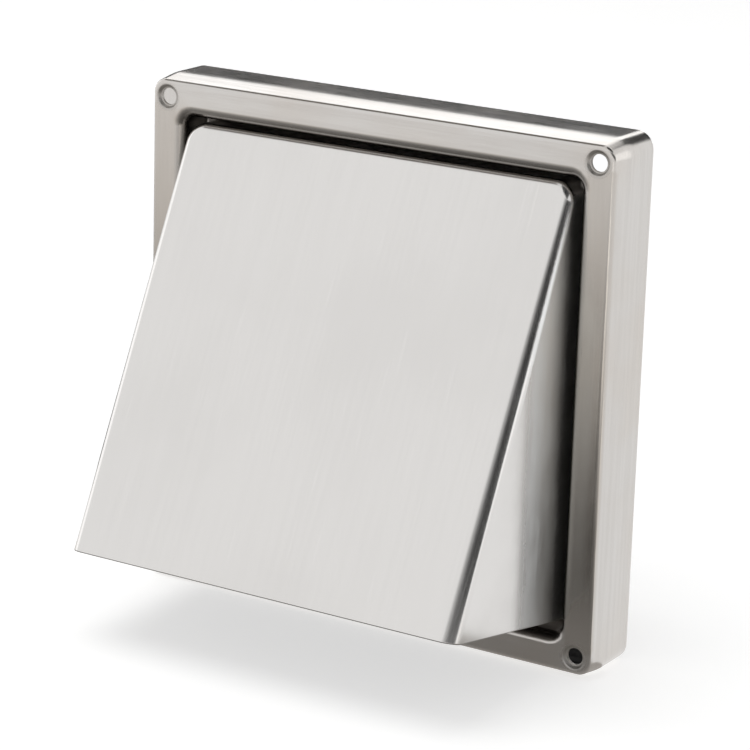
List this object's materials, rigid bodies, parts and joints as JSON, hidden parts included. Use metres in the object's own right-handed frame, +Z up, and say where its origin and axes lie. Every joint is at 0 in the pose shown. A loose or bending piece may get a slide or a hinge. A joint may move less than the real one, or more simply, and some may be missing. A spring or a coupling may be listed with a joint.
{
  "type": "hooded wall vent",
  "caption": "Square brushed steel wall vent with a slanted hood open underneath, screw holes at the corners, a gravity flap and a round duct spigot behind.",
  "frame": {"origin": "where the spigot's axis meets the wall plane, which is the plate's rear rim", "axes": "+Z up, +Y into the wall along the spigot, the hood faces -Y, +X right seen from the front"},
  "size_m": [0.15, 0.1151, 0.15],
  "materials": {
    "plate_steel": "brushed along each border",
    "hood_steel": "brushed up and down",
    "tube_steel": "mill finish, rolled round",
    "flap_steel": "mill finish",
    "pin_steel": "drawn wire"
  },
  "bodies": {
    "frame": {"face_plate": "plate_steel", "hood": "hood_steel", "spigot": "tube_steel", "hinge_pin": "pin_steel"},
    "shutter": {"flap": "flap_steel"}
  },
  "joints": [
    {"name": "flap_hinge", "type": "hinge", "parent": "frame", "child": "shutter", "pos_m": [0, -0.0099, 0.0535], "axis": [-1, 0, 0], "range_deg": [0, 29]}
  ]
}
